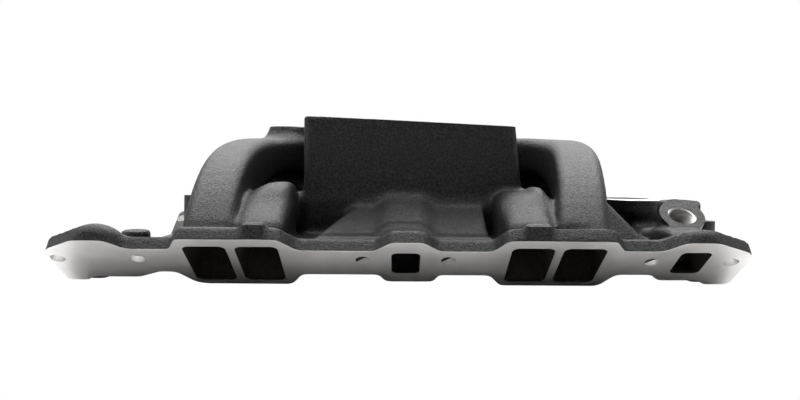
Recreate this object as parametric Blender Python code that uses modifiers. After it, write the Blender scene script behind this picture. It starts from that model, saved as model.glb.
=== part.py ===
"""Dual-plane intake manifold for a 90 degree V8, as the separate regions of its aluminium casting.

Frame: +X is the front of the engine, +Y the left bank, +Z up. The origin is under the middle of the
part, level with its lowest edge. Lengths are millimetres times MM, so Blender gets metres.
The upper plane feeds cylinders 8, 5, 3 and 2, the lower plane feeds 7, 6, 4 and 1.
"""

import math

import bmesh
import bpy
from mathutils import Matrix, Vector

MM = 0.001
GAP = 0.3 * MM  # clearance between neighbouring regions

# Head flanges: a plate on each bank, on a plane that rises outwards from the valley.
BANK_SLOPE = math.radians(35)
HOLE_LINE_Y = 142.2 * MM  # bolt-hole line, from the centre plane
HOLE_LINE_Z = 22.48 * MM
FLANGE_THICKNESS = 10.7 * MM
BOLT_RADIUS = 5.1 * MM
BOLT_X = (-244.6, -189.6, -33.5, 25.9, 167.3, 222.3)
PORT_PAIR_X = (-122.9 * MM, 100.6 * MM)  # middle of each siamesed pair
PORT_WIDTH = 29.5 * MM
PORT_HEIGHT = 50 * MM
PORT_WEB = 5.9 * MM
PORT_S = -7 * MM  # port centre along the slope, from the bolt-hole line
HEAT_PORT_X = -3.8 * MM
HEAT_PORT_S = -5.7 * MM
HEAT_PORT = (20 * MM, 31 * MM)
WATER_PORT_X = 194.6 * MM
WATER_PORT_S = -1.9 * MM
WATER_PORT = (21 * MM, 30.7 * MM)

# Flange outline in millimetres: place along the crank, place up the slope, corner radius.
FLANGE_TOP = [
    (-249.9, 10, 3), (-246, 14, 4), (-227, 24.8, 12), (-205.5, 24.8, 12), (-194, 13.7, 10),
    (-164.5, 13.7, 3), (-157.5, 27.6, 5), (-90, 27.6, 8), (-77.5, 12.8, 8), (-25.5, 12.8, 6),
    (-13.5, 24.6, 6), (8, 24.6, 7), (19.5, 12.8, 8), (55.5, 12.8, 6), (65, 28.2, 8),
    (136, 28.2, 6), (144.5, 14.7, 4), (170.5, 14.7, 10), (183, 26.4, 10), (204.5, 26.4, 12),
    (229, 14.3, 4), (233.9, 9, 3),
]
FLANGE_BOTTOM = [
    (233.9, -30, 3), (231, -34.4, 2), (216, -34.4, 3), (208, -28.2, 3), (180.5, -28.2, 5),
    (173, -19.6, 5), (147, -19.6, 7), (138.5, -39.2, 9), (66.5, -39.2, 6), (57, -22.4, 7),
    (20.6, -22.4, 4), (16.5, -33, 5), (-17.8, -33, 5), (-23, -22.2, 5), (-78, -22.2, 7),
    (-87, -39, 9), (-156, -38.2, 13), (-167.5, -19.2, 8), (-180, -19.2, 6), (-196.5, -27.8, 4),
    (-229.5, -27.8, 3), (-235, -33, 2), (-247.5, -33, 2), (-249.9, -31, 2),
]

# Runners: hollow lofts from the flange to the plenum.
RUNNER_WALL_SIDE = 2.65 * MM
RUNNER_WALL_TOP = 4 * MM
UPPER_END_HEIGHT = 26 * MM
LOWER_END_HEIGHT = 26 * MM
UPPER_PLANE_Z = (96 * MM, 92.6 * MM)  # rear and front runner centres at the plenum
LOWER_PLANE_Z = 52 * MM
UPPER_OUTER_Y = 21 * MM  # where the outer runners of the upper plane meet the end walls
LOWER_OUTER_Y = 55 * MM  # the same for the lower plane
UPPER_INNER_X = 62 * MM  # where the inner runners of the upper plane meet the left wall

# Plenum and carburettor pad.
PLENUM_HALF = (83.5 * MM, 77.5 * MM)
PLENUM_WALL = 6 * MM
PAD_THICKNESS = 10 * MM
PAD_TOP_Z = 123.6 * MM  # at the middle of the pad
PAD_FALL = 0.0452  # the pad falls this much for each unit towards the front
THROTTLE_BORE = 22.2 * MM
BORE_CENTRES = (36 * MM, 26 * MM)
STUD_CENTRES = (71.4 * MM, 65.5 * MM)
STUD_HOLE = 3.4 * MM
SEPARATOR_Z = (66.3 * MM, 71 * MM)
LOWER_PLENUM_X = (-124 * MM, 101 * MM)
LOWER_PLENUM_Z = (33.7 * MM, 66 * MM)
LOWER_PLENUM_WALL = 5 * MM
DIVIDER_HALF = 3 * MM

# Coolant crossover and thermostat pad.
WATER_TUBE_Z = (14 * MM, 40 * MM)
WATER_WALL = 3.2 * MM
HEATER_MOUTH = Vector((201 * MM, -109 * MM, 53.5 * MM))
HEATER_AIM = Vector((0, -0.6, 0.8))
THERMOSTAT_X = 191 * MM
THERMOSTAT_RADIUS = 31 * MM
THERMOSTAT_BORE = 24 * MM
THERMOSTAT_EAR_Y = 43 * MM
THERMOSTAT_EAR_RADIUS = 12 * MM
THERMOSTAT_PAD_Z = (50 * MM, 61.5 * MM)
LEG_END_Y = 80 * MM  # where both crossovers leave their slanting legs

# End rails, distributor opening and valley floor.
RAIL_UNDERSIDE_Z = 2.9 * MM
RAIL_TOP_Z = 13.6 * MM
RAIL_HALF_LENGTH = 104.5 * MM
REAR_RAIL_X = (-249.4 * MM, -228 * MM)
FRONT_RAIL_X = (210.5 * MM, 233.4 * MM)
DISTRIBUTOR_X = -200 * MM
DISTRIBUTOR_RADIUS = (17 * MM, 27 * MM)
DISTRIBUTOR_TOP_Z = 21.4 * MM
FLOOR_THICKNESS = 5 * MM
FLOOR_Z = 14.2 * MM
GUSSET_Y = -92 * MM
GUSSET_THICKNESS = 12 * MM
VACUUM_BOSS = (-113 * MM, 17 * MM)
VACUUM_BOSS_Z = (114.6 * MM, 123.5 * MM)
UP = (0, 0, 1)
TENT_Z = (38.5 * MM, 62 * MM)  # top of the sloping floor at the flange and at the plenum

CAST_COLOUR = (0.022, 0.022, 0.024, 1)
MACHINED_COLOUR = (0.55, 0.54, 0.52, 1)


def remove_everything():
    for obj in list(bpy.data.objects):
        bpy.data.objects.remove(obj)


def new_collection(name):
    collection = bpy.data.collections.new(name)
    bpy.context.scene.collection.children.link(collection)
    return collection


remove_everything()
PARTS = new_collection("intake_manifold")
CUTTERS = new_collection("cutters")


# --- objects, materials and cutters -------------------------------------------------------------

def give_material(obj, machined=False):
    """Black powder coat on cast regions, bare machined aluminium on faces made to seal."""
    mat = bpy.data.materials.new(obj.name)
    mat.use_nodes = True
    shader = mat.node_tree.nodes["Principled BSDF"]
    shader.inputs["Base Color"].default_value = MACHINED_COLOUR if machined else CAST_COLOUR
    shader.inputs["Roughness"].default_value = 0.35 if machined else 0.55
    shader.inputs["Metallic"].default_value = 1.0 if machined else 0.0
    obj.data.materials.append(mat)


def add_part(name, mesh, machined=False):
    obj = bpy.data.objects.new(name, mesh)
    PARTS.objects.link(obj)
    give_material(obj, machined)
    mesh.shade_smooth()
    mesh.set_sharp_from_angle(angle=math.radians(35))
    return obj


def mesh_from_bmesh(name, bm):
    bmesh.ops.recalc_face_normals(bm, faces=bm.faces)
    mesh = bpy.data.meshes.new(name)
    bm.to_mesh(mesh)
    bm.free()
    return mesh


def box_mesh(name, low, high):
    bm = bmesh.new()
    bmesh.ops.create_cube(bm, size=1)
    size = Vector(high) - Vector(low)
    middle = (Vector(high) + Vector(low)) / 2
    bmesh.ops.transform(bm, matrix=Matrix.Translation(middle) @ Matrix.Diagonal((*size, 1)), verts=bm.verts)
    return mesh_from_bmesh(name, bm)


def cylinder_mesh(name, centre, axis, radius, length, sides=24, top_radius=None):
    """A cylinder or cone whose middle is at centre and whose second end lies along axis."""
    bm = bmesh.new()
    bmesh.ops.create_cone(bm, cap_ends=True, segments=sides, radius1=radius,
                          radius2=radius if top_radius is None else top_radius, depth=length)
    turn = Vector(axis).to_track_quat("Z", "Y").to_matrix().to_4x4()
    bmesh.ops.transform(bm, matrix=Matrix.Translation(Vector(centre)) @ turn, verts=bm.verts)
    return mesh_from_bmesh(name, bm)


def subtract(obj, meshes):
    for mesh in meshes:
        cutter = bpy.data.objects.new(mesh.name, mesh)
        CUTTERS.objects.link(cutter)
        cutter.hide_render = True
        cutter.display_type = "WIRE"
        cut = obj.modifiers.new("cut", "BOOLEAN")
        cut.operation = "DIFFERENCE"
        cut.solver = "EXACT"
        cut.object = cutter
    return obj


def join_to(obj, meshes):
    for mesh in meshes:
        extra = bpy.data.objects.new(mesh.name, mesh)
        CUTTERS.objects.link(extra)
        extra.hide_render = True
        extra.display_type = "WIRE"
        weld = obj.modifiers.new("join", "BOOLEAN")
        weld.operation = "UNION"
        weld.solver = "EXACT"
        weld.object = extra
    return obj


# --- flat outlines ------------------------------------------------------------------------------

def fillet(corners, steps=3):
    """Rounds each (x, y, radius) corner of a closed outline with an arc."""
    points = []
    count = len(corners)
    for i, (x, y, radius) in enumerate(corners):
        here = Vector((x, y))
        before = (Vector(corners[i - 1][:2]) - here)
        after = (Vector(corners[(i + 1) % count][:2]) - here)
        half = before.angle(after) / 2
        reach = min(radius / math.tan(half), before.length * 0.49, after.length * 0.49)
        if radius <= 0 or half > math.radians(88):
            points.append(here)
            continue
        real = reach * math.tan(half)
        start = here + before.normalized() * reach
        centre = here + (before.normalized() + after.normalized()).normalized() * real / math.sin(half)
        sweep = math.pi - 2 * half
        turn = 1 if before.x * after.y - before.y * after.x < 0 else -1
        for k in range(steps + 1):
            spoke = start - centre
            spoke.rotate(Matrix.Rotation(turn * sweep * k / steps, 2))
            points.append(centre + spoke)
    return points


def circle(x, y, radius, sides=16):
    return [Vector((x + radius * math.cos(2 * math.pi * k / sides),
                    y + radius * math.sin(2 * math.pi * k / sides))) for k in range(sides)]


def rounded_rectangle(x, y, width, height, radius, steps=2):
    a, b = width / 2, height / 2
    return fillet([(x - a, y - b, radius), (x + a, y - b, radius),
                   (x + a, y + b, radius), (x - a, y + b, radius)], steps)


def plate_mesh(name, loops, thickness, matrix):
    """A flat plate from closed loops, the first its outline and the rest its holes."""
    curve = bpy.data.curves.new(name, "CURVE")
    curve.dimensions = "2D"
    curve.fill_mode = "BOTH"
    curve.extrude = thickness / 2
    for loop in loops:
        spline = curve.splines.new("POLY")
        spline.points.add(len(loop) - 1)
        for point, place in zip(spline.points, loop):
            point.co = (place.x, place.y, 0, 1)
        spline.use_cyclic_u = True
    guide = bpy.data.objects.new(name, curve)
    bpy.context.scene.collection.objects.link(guide)
    graph = bpy.context.evaluated_depsgraph_get()
    mesh = bpy.data.meshes.new_from_object(guide.evaluated_get(graph))
    bpy.data.objects.remove(guide)
    bm = bmesh.new()
    bm.from_mesh(mesh)
    bmesh.ops.remove_doubles(bm, verts=bm.verts, dist=1e-6)
    bmesh.ops.transform(bm, matrix=matrix, verts=bm.verts)
    bpy.data.meshes.remove(mesh)
    return mesh_from_bmesh(name, bm)


def level(z):
    return Matrix.Translation((0, 0, z))


# --- lofts --------------------------------------------------------------------------------------

def bank_point(side, x, s, depth=0.0):
    """A point of a head flange: s up its slope, depth into the metal. side is -1 right, +1 left."""
    y = HOLE_LINE_Y + s * math.cos(BANK_SLOPE) - depth * math.sin(BANK_SLOPE)
    z = HOLE_LINE_Z + s * math.sin(BANK_SLOPE) + depth * math.cos(BANK_SLOPE)
    return Vector((x, side * y, z))


def flange_back_y(z):
    """How far out the back of a head flange is at height z, less the clearance."""
    s = (z - HOLE_LINE_Z - FLANGE_THICKNESS * math.cos(BANK_SLOPE)) / math.sin(BANK_SLOPE)
    return HOLE_LINE_Y + s * math.cos(BANK_SLOPE) - FLANGE_THICKNESS * math.sin(BANK_SLOPE) - 2 * GAP


def bank_inward(side):
    return Vector((0, -side * math.sin(BANK_SLOPE), math.cos(BANK_SLOPE)))


def section(centre, heading, width, height, radius):
    """A rounded rectangle of points across heading, with its width level."""
    across = heading.cross(Vector((0, 0, 1))).normalized()
    up = across.cross(heading).normalized()
    return [centre + across * p.x + up * p.y for p in rounded_rectangle(0, 0, width, height, radius)]


def tube_mesh(name, outer, inner):
    """A hollow tube through matching rings of points, open at both ends."""
    bm = bmesh.new()
    skins = [[[bm.verts.new(p) for p in ring] for ring in rings] for rings in (outer, inner)]
    count = len(outer[0])
    for rings in skins:
        for a, b in zip(rings, rings[1:]):
            for k in range(count):
                bm.faces.new((a[k], a[(k + 1) % count], b[(k + 1) % count], b[k]))
    for end in (0, -1):
        a, b = skins[0][end], skins[1][end]
        for k in range(count):
            bm.faces.new((a[k], a[(k + 1) % count], b[(k + 1) % count], b[k]))
    return mesh_from_bmesh(name, bm)


def solid_loft(name, rings):
    """A closed body through matching rings of points."""
    bm = bmesh.new()
    made = [[bm.verts.new(p) for p in ring] for ring in rings]
    count = len(rings[0])
    for a, b in zip(made, made[1:]):
        for k in range(count):
            bm.faces.new((a[k], a[(k + 1) % count], b[(k + 1) % count], b[k]))
    for ring in (made[0], made[-1]):
        bm.faces.new(ring)
    return mesh_from_bmesh(name, bm)


def bezier(points, t):
    """Place and direction on a cubic curve with four control points."""
    a, b, c, d = points
    u = 1 - t
    place = a * u ** 3 + b * 3 * u * u * t + c * 3 * u * t * t + d * t ** 3
    direction = (b - a) * u * u + (c - b) * 2 * u * t + (d - c) * t * t
    return place, direction.normalized()


def runner(number, side, port_x, end, heading, rise, run, end_height, bulge=0.0, steps=8):
    """Hollow runner from a port in the flange to end, where it points along heading.
    rise and run are how far it keeps straight at each end, bulge how far it swings out midway."""
    start = bank_point(side, port_x, PORT_S, FLANGE_THICKNESS + GAP)
    path = [start, start + bank_inward(side) * rise, end - heading * run, end]
    outward = Vector((math.copysign(bulge, port_x), 0, 0))
    outer, inner = [], []
    for k in range(steps):
        t = k / (steps - 1)
        place, direction = bezier(path, t)
        place += outward * math.sin(math.pi * t) ** 2
        if heading.x == 0:  # a runner that only shifts sideways keeps its sections square
            direction = Vector((0, direction.y, direction.z)).normalized()
        ease = min(1, 1.5 * t)
        height = PORT_HEIGHT + (end_height - PORT_HEIGHT) * ease
        outer.append(section(place, direction, PORT_WIDTH + 2 * RUNNER_WALL_SIDE,
                             height + 2 * RUNNER_WALL_TOP, 8 * MM))
        inner.append(section(place, direction, PORT_WIDTH, height, 5 * MM))
    return add_part(f"runner_{number}", tube_mesh(f"runner_{number}", outer, inner))


def port_x(end, inner_port):
    """Centre of a port: end is 0 rear or 1 front, inner_port the one nearer the middle."""
    shift = (PORT_WIDTH + PORT_WEB) / 2
    toward_middle = 1 if end == 0 else -1
    return PORT_PAIR_X[end] + (shift if inner_port else -shift) * toward_middle


# --- head flanges -------------------------------------------------------------------------------

def head_flange(name, side):
    outline = fillet([(x * MM, s * MM, r * MM) for x, s, r in FLANGE_TOP + FLANGE_BOTTOM], 2)
    holes = [circle(x * MM, 0, BOLT_RADIUS, 12) for x in BOLT_X]
    for end in (0, 1):
        for inner_port in (True, False):
            holes.append(rounded_rectangle(port_x(end, inner_port), PORT_S, PORT_WIDTH, PORT_HEIGHT, 5 * MM))
    holes.append(rounded_rectangle(HEAT_PORT_X, HEAT_PORT_S, *HEAT_PORT, 4 * MM))
    holes.append(rounded_rectangle(WATER_PORT_X, WATER_PORT_S, *WATER_PORT, 5 * MM))
    up_slope = Vector((0, side * math.cos(BANK_SLOPE), math.sin(BANK_SLOPE)))
    inward = bank_inward(side)
    place = Matrix.Identity(4)
    for row in range(3):
        place[row][0] = (1, 0, 0)[row]
        place[row][1] = up_slope[row]
        place[row][2] = inward[row]
        place[row][3] = bank_point(side, 0, 0, FLANGE_THICKNESS / 2)[row]
    mesh = plate_mesh(name, [outline] + holes, FLANGE_THICKNESS, place)
    return add_part(name, mesh, machined=True)


# --- runners ------------------------------------------------------------------------------------

def build_runners():
    ends = (-1, 1)
    for end, toward in enumerate((Vector((1, 0, 0)), Vector((-1, 0, 0)))):
        wall = ends[end] * (PLENUM_HALF[0] + GAP)
        lower_wall = LOWER_PLENUM_X[end] + ends[end] * GAP
        upper_z = UPPER_PLANE_Z[end]
        runner((8, 2)[end], -1, port_x(end, False), Vector((wall, UPPER_OUTER_Y, upper_z)),
               toward, 100 * MM, 62 * MM, UPPER_END_HEIGHT, 4 * MM, 10)
        runner((5, 3)[end], 1, port_x(end, True),
               Vector((ends[end] * UPPER_INNER_X, PLENUM_HALF[1] + GAP, upper_z)),
               Vector((0, -1, 0)), 50 * MM, 26 * MM, UPPER_END_HEIGHT)
        runner((6, 4)[end], -1, port_x(end, True),
               Vector((port_x(end, True), -PLENUM_HALF[1] - GAP, LOWER_PLANE_Z)),
               Vector((0, 1, 0)), 20 * MM, 22 * MM, LOWER_END_HEIGHT)
        runner((7, 1)[end], 1, port_x(end, False), Vector((lower_wall, LOWER_OUTER_Y, LOWER_PLANE_Z)),
               toward, 26 * MM, 38 * MM, LOWER_END_HEIGHT, 10 * MM, 10)


# --- plenum -------------------------------------------------------------------------------------

def pad_underside(x):
    return PAD_TOP_Z - PAD_FALL * x - PAD_THICKNESS * math.sqrt(1 + PAD_FALL ** 2) - GAP


def slope_top(mesh, above):
    """Moves a mesh's upper points to the underside of the carburettor pad."""
    for vert in mesh.vertices:
        if vert.co.z > above:
            vert.co.z = pad_underside(vert.co.x)
    return mesh


def build_plenum():
    half_x, half_y = PLENUM_HALF
    base = SEPARATOR_Z[1] + GAP
    outline = rounded_rectangle(0, 0, 2 * half_x, 2 * half_y, 8 * MM)
    inside_x, inside_y = half_x - PLENUM_WALL, half_y - PLENUM_WALL
    corner = 26 * MM  # solid corner columns carry the carburettor studs
    inside = fillet([(sx * (inside_x - cx * corner), sy * (inside_y - cy * corner), 3 * MM)
                     for sx, sy, order in ((-1, -1, 0), (1, -1, 1), (1, 1, 0), (-1, 1, 1))
                     for cx, cy in (((0, 1), (1, 0)) if order == 0 else ((1, 0), (0, 1)))], 1)
    walls = plate_mesh("upper_plenum", [outline, inside], 20 * MM, level(base + 10 * MM))
    upper = add_part("upper_plenum", slope_top(walls, base + 10 * MM))
    windows = []
    reach = 12 * MM
    for end, sign in ((0, -1), (1, 1)):
        z = UPPER_PLANE_Z[end]
        half_height, half_width = UPPER_END_HEIGHT / 2, PORT_WIDTH / 2
        x = sign * half_x
        windows.append(box_mesh("end_window",
                                (x - reach, UPPER_OUTER_Y - half_width, z - half_height),
                                (x + reach, UPPER_OUTER_Y + half_width, z + half_height)))
        x = sign * UPPER_INNER_X
        windows.append(box_mesh("left_window",
                                (x - half_width, half_y - 30 * MM, z - half_height),
                                (x + half_width, half_y + reach, z + half_height)))
    subtract(upper, windows)

    divider = box_mesh("plenum_divider", (-inside_x + GAP, -DIVIDER_HALF, base),
                       (inside_x - GAP, DIVIDER_HALF, base + 20 * MM))
    add_part("plenum_divider", slope_top(divider, base + 10 * MM))

    low_x, high_x = LOWER_PLENUM_X
    shelf = fillet([(low_x, -half_y, 6 * MM), (high_x, -half_y, 6 * MM), (high_x, half_y, 6 * MM),
                    (low_x, half_y, 6 * MM)], 2)
    well = rounded_rectangle(0, -(inside_y + DIVIDER_HALF) / 2, 2 * inside_x, inside_y - DIVIDER_HALF, 6 * MM)
    thickness = SEPARATOR_Z[1] - SEPARATOR_Z[0]
    add_part("plane_separator", plate_mesh("plane_separator", [shelf, well], thickness,
                                           level(sum(SEPARATOR_Z) / 2)))

    low_z, high_z = LOWER_PLENUM_Z
    tray = plate_mesh("lower_plenum", [shelf], high_z - low_z, level((low_z + high_z) / 2))
    lower = add_part("lower_plenum", tray)
    wall = LOWER_PLENUM_WALL
    mouths = [box_mesh("lower_hollow", (low_x + wall, -half_y + wall, low_z + wall),
                       (high_x - wall, half_y - wall, high_z + wall))]
    z_low, z_high = LOWER_PLANE_Z - LOWER_END_HEIGHT / 2, LOWER_PLANE_Z + LOWER_END_HEIGHT / 2
    half_width = PORT_WIDTH / 2
    for end in (0, 1):
        x = port_x(end, True)
        mouths.append(box_mesh("right_mouth", (x - half_width, -half_y - wall, z_low),
                               (x + half_width, -half_y + 2 * wall, z_high)))
        x = LOWER_PLENUM_X[end]
        mouths.append(box_mesh("end_mouth", (x - 2 * wall, LOWER_OUTER_Y - half_width, z_low),
                               (x + 2 * wall, LOWER_OUTER_Y + half_width, z_high)))
    subtract(lower, mouths)


def build_pad():
    half_x, half_y = PLENUM_HALF
    outline = rounded_rectangle(0, 0, 2 * half_x + 1 * MM, 2 * half_y, 12 * MM, 3)
    holes = [circle(sx * BORE_CENTRES[0], sy * BORE_CENTRES[1], THROTTLE_BORE, 32)
             for sx in (-1, 1) for sy in (-1, 1)]
    holes += [circle(sx * STUD_CENTRES[0], sy * STUD_CENTRES[1], STUD_HOLE, 10)
              for sx in (-1, 1) for sy in (-1, 1)]
    tilt = Matrix.Rotation(math.atan(PAD_FALL), 4, "Y")
    place = Matrix.Translation((0, 0, PAD_TOP_Z)) @ tilt @ level(-PAD_THICKNESS / 2)
    pad = plate_mesh("carburettor_pad", [outline] + holes, PAD_THICKNESS, place)
    add_part("carburettor_pad", pad, machined=True)


# --- crossovers ---------------------------------------------------------------------------------

def leg_ring(low, high, x, width, radius):
    """A ring whose height runs from low to high, two points in the plane of x."""
    up = high - low
    return [Vector((x + p.x, 0, 0)) + Vector((0, 1, 1)) * (low + up * (p.y / up.length + 0.5))
            for p in rounded_rectangle(0, 0, width, up.length, radius)]


def leg_rings(side, x, s, port, wall, low_z, high_z, rise, steps=5):
    """Rings from a flange port to an upright section at LEG_END_Y, wall outside the port's size.
    rise is how far the roof follows the port's direction before it bends over."""
    half = port[1] / 2 + wall
    start_low = bank_point(side, 0, s - half, FLANGE_THICKNESS + GAP)
    start_high = bank_point(side, 0, s + half, FLANGE_THICKNESS + GAP)
    end_low, end_high = Vector((0, side * LEG_END_Y, low_z)), Vector((0, side * LEG_END_Y, high_z))
    bend = start_high + bank_inward(side) * rise
    rings = []
    for k in range(steps):
        t = k / (steps - 1)
        low = start_low.lerp(end_low, t)
        high = start_high.lerp(bend, t).lerp(bend.lerp(end_high, t), t)
        rings.append(leg_ring(low, high, x, port[0] + 2 * wall, 5 * MM))
    return rings


def build_heat_crossover():
    wall = 3.5 * MM
    low, high = 7 * MM, 33.2 * MM
    leg_top, rise = TENT_Z[1] - 3 * MM, 18 * MM
    at = (HEAT_PORT_X, HEAT_PORT_S, HEAT_PORT)
    for side, name in ((-1, "heat_crossover_leg_right"), (1, "heat_crossover_leg_left")):
        outer = leg_rings(side, *at, wall, low, leg_top, rise)
        inner = leg_rings(side, *at, 0, low + wall, high - wall, rise)
        add_part(name, tube_mesh(name, outer, inner))
    across = Vector((0, 1, 0))
    middle = (low + high) / 2
    outer, inner = [], []
    for y in (-LEG_END_Y + GAP, 0, LEG_END_Y - GAP):
        centre = Vector((HEAT_PORT_X, y, middle))
        outer.append(section(centre, across, HEAT_PORT[0] + 2 * wall, high - low, 5 * MM))
        inner.append(section(centre, across, HEAT_PORT[0], high - low - 2 * wall, 3 * MM))
    add_part("heat_crossover_passage", tube_mesh("heat_crossover_passage", outer, inner))


def water_rings(wall):
    """Rings of the coolant crossover from the right flange to the left one, wall outside its bore."""
    low, high = (z + side * (WATER_WALL - wall) for z, side in zip(WATER_TUBE_Z, (1, -1)))
    legs = [leg_rings(side, WATER_PORT_X, WATER_PORT_S, WATER_PORT, wall, low, high, 3 * MM)
            for side in (-1, 1)]
    return legs[0] + legs[1][::-1]


def build_water_crossover():
    high = WATER_TUBE_Z[1]
    tube = add_part("water_crossover", tube_mesh("water_crossover", water_rings(WATER_WALL), water_rings(0)))
    above = (WATER_PORT_X - 1 * MM, 0, high)
    drill_at = HEATER_MOUTH - HEATER_AIM * 12 * MM
    subtract(tube, [cylinder_mesh("neck_hole", above, UP, 9 * MM, 16 * MM),
                    cylinder_mesh("heater_drill", drill_at, HEATER_AIM, 9 * MM, 30 * MM)])

    pad_low, pad_high = THERMOSTAT_PAD_Z
    centre = (THERMOSTAT_X, 0, (high + pad_low) / 2)
    height = pad_low - high - 2 * GAP
    neck = cylinder_mesh("thermostat_neck", centre, UP, 21 * MM, height, 32, 29 * MM)
    neck = add_part("thermostat_neck", neck)
    subtract(neck, [cylinder_mesh("neck_bore", centre, UP, 15 * MM, 12 * MM, 32, 24 * MM)])

    # The pad is a disc with an ear for a bolt on each side of it.
    x, radius, ear, ear_y = THERMOSTAT_X, THERMOSTAT_RADIUS, THERMOSTAT_EAR_RADIUS, THERMOSTAT_EAR_Y
    waist, soft = 18 * MM, 14 * MM
    outline = fillet([
        (x - ear, -ear_y - ear, ear), (x + ear, -ear_y - ear, ear),
        (x + radius, -waist, soft), (x + radius, waist, soft),
        (x + ear, ear_y + ear, ear), (x - ear, ear_y + ear, ear),
        (x - radius, waist, soft), (x - radius, -waist, soft),
    ], 4)
    holes = [circle(THERMOSTAT_X, 0, THERMOSTAT_BORE, 32)]
    holes += [circle(THERMOSTAT_X, sign * THERMOSTAT_EAR_Y, 4 * MM, 12) for sign in (-1, 1)]
    add_part("thermostat_pad", plate_mesh("thermostat_pad", [outline] + holes, pad_high - pad_low,
                                          level((pad_low + pad_high) / 2)), machined=True)


# --- end rails and valley floor -----------------------------------------------------------------

def build_rails():
    for name, (low_x, high_x) in (("rear_end_rail", REAR_RAIL_X), ("front_end_rail", FRONT_RAIL_X)):
        rail = box_mesh(name, (low_x, -RAIL_HALF_LENGTH, RAIL_UNDERSIDE_Z),
                        (high_x, RAIL_HALF_LENGTH, RAIL_TOP_Z))
        rail = add_part(name, rail)
        soft = rail.modifiers.new("edges", "BEVEL")
        soft.width = 2 * MM
        soft.segments = 2


def build_rear_floor():
    z = FLOOR_Z + FLOOR_THICKNESS / 2
    outline = fillet([
        (-227.7 * MM, -108 * MM, 0), (-166 * MM, -108 * MM, 6 * MM), (-162 * MM, -92 * MM, 6 * MM),
        (-126 * MM, -92 * MM, 0), (-126 * MM, 92 * MM, 0), (-162 * MM, 92 * MM, 6 * MM),
        (-166 * MM, 108 * MM, 6 * MM), (-227.7 * MM, 108 * MM, 0),
    ], 2)
    opening = circle(DISTRIBUTOR_X, 0, DISTRIBUTOR_RADIUS[1] - 4 * MM + GAP, 32)
    floor = plate_mesh("rear_valley_floor", [outline, opening], FLOOR_THICKNESS, level(z))
    add_part("rear_valley_floor", floor)

    bore, rim = DISTRIBUTOR_RADIUS
    low, shelf, top = RAIL_UNDERSIDE_Z, FLOOR_Z + FLOOR_THICKNESS + GAP, DISTRIBUTOR_TOP_Z
    profile = [(rim, top), (rim, shelf), (rim - 4 * MM, shelf), (rim - 4 * MM, low), (bore, low), (bore, top)]
    bm = bmesh.new()
    verts = [bm.verts.new((r, 0, z)) for r, z in profile]
    for a, b in zip(verts, verts[1:] + verts[:1]):
        bm.edges.new((a, b))
    mesh = bpy.data.meshes.new("distributor_boss")
    bm.to_mesh(mesh)
    bm.free()
    boss = add_part("distributor_boss", mesh)
    boss.location = (DISTRIBUTOR_X, 0, 0)
    turn = boss.modifiers.new("turn", "SCREW")
    turn.steps = turn.render_steps = 32
    turn.use_merge_vertices = True
    turn.merge_threshold = 0.00005


def build_front_floor():
    z = FLOOR_Z + FLOOR_THICKNESS / 2
    outline = [Vector((x * MM, y * MM)) for x, y in ((103, -90), (138, -92), (145, -106), (180.2, -106),
                                                     (180.2, 106), (145, 106), (138, 92), (103, 90))]
    add_part("front_valley_floor", plate_mesh("front_valley_floor", [outline], FLOOR_THICKNESS, level(z)))


def build_front_gusset():
    """A web that braces the outer front runner against the floor in front of the coolant leg."""
    profile = [(147, 19.6), (180.4, 19.6), (180.4, 31), (154.6, 60.3), (147, 64)]
    outline = [Vector((x * MM, -z * MM)) for x, z in profile]
    place = Matrix.Rotation(math.radians(-90), 4, "X")
    place.translation = (0, GUSSET_Y, 0)
    add_part("front_gusset_right", plate_mesh("front_gusset_right", [outline], GUSSET_THICKNESS, place))


def build_tents():
    """Sloping floors that close the valley between the inner runners, beside the heat crossover."""
    leg = HEAT_PORT[0] / 2 + 3.5 * MM + GAP
    reach = {"right": (-86.5 * MM, 64.4 * MM), "left": (-68 * MM, 51 * MM)}
    for side, bank in ((-1, "right"), (1, "left")):
        rear_x, front_x = reach[bank]
        spans = {"rear": (rear_x, HEAT_PORT_X - leg), "front": (HEAT_PORT_X + leg, front_x)}
        for place, (low_x, high_x) in spans.items():
            name = f"valley_floor_{bank}_{place}"
            mesh = box_mesh(name, (low_x, side * HOLE_LINE_Y, 0), (high_x, side * (PLENUM_HALF[1] + GAP), 1))
            for vert in mesh.vertices:
                at_flange = abs(vert.co.y) > 100 * MM
                top = TENT_Z[0] if at_flange else TENT_Z[1]
                vert.co.z = top if vert.co.z > 0.5 else top - FLOOR_THICKNESS
                if at_flange:
                    vert.co.y = side * flange_back_y(vert.co.z)
            mesh.update()
            tent = add_part(name, mesh)
            fix = bmesh.new()
            fix.from_mesh(tent.data)
            bmesh.ops.recalc_face_normals(fix, faces=fix.faces)
            fix.to_mesh(tent.data)
            fix.free()


# --- bosses -------------------------------------------------------------------------------------

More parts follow.
